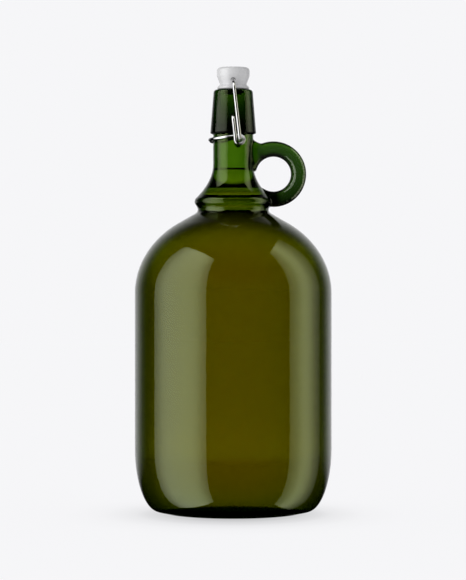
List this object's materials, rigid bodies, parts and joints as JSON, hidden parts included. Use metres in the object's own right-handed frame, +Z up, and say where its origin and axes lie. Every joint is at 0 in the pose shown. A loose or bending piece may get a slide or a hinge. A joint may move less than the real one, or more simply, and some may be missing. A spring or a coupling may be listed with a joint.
{
  "type": "swing-top glass jug",
  "caption": "Round green glass jug with a domed shoulder, a small ring handle at the neck and a porcelain swing-top stopper on sprung wires.",
  "frame": {"origin": "centre of the base, on the plane that the bearing ring stands on", "axes": "+Z up the bottle's axis, +X from the axis towards the ring handle, +Y away from a viewer who sees the handle on the right; the two dimples lie on the -Y and +Y sides"},
  "size_m": [0.1312, 0.1312, 0.298],
  "materials": {
    "green_glass": "clear dark green bottle glass, fire-polished",
    "plated_wire": "bright zinc-plated spring steel wire",
    "glazed_porcelain": "white glaze",
    "black_rubber": "dark moulded rubber"
  },
  "bodies": {
    "bottle": {"glass_bottle": "green_glass"},
    "lever": {"lever_wire": "plated_wire"},
    "bail": {"bail_wire": "plated_wire"},
    "stopper": {"stopper_head": "glazed_porcelain", "gasket": "black_rubber"}
  },
  "joints": [
    {"name": "lever_pivot", "type": "hinge", "parent": "bottle", "child": "lever", "pos_m": [-0.0002, 0, 0.2643], "axis": [0, 1, 0], "range_deg": [0, 90]},
    {"name": "bail_swing", "type": "hinge", "parent": "lever", "child": "bail", "pos_m": [0.004, 0, 0.2489], "axis": [0, 1, 0], "range_deg": [-57, 1]},
    {"name": "stopper_tilt", "type": "hinge", "parent": "bail", "child": "stopper", "pos_m": [0, 0, 0.2881], "axis": [0, 1, 0], "range_deg": [-34.5, 1]}
  ],
  "couplings": [
    {"joint": "bail_swing", "follows": "lever_pivot", "ratio": -0.625},
    {"joint": "stopper_tilt", "follows": "lever_pivot", "ratio": -0.375}
  ]
}
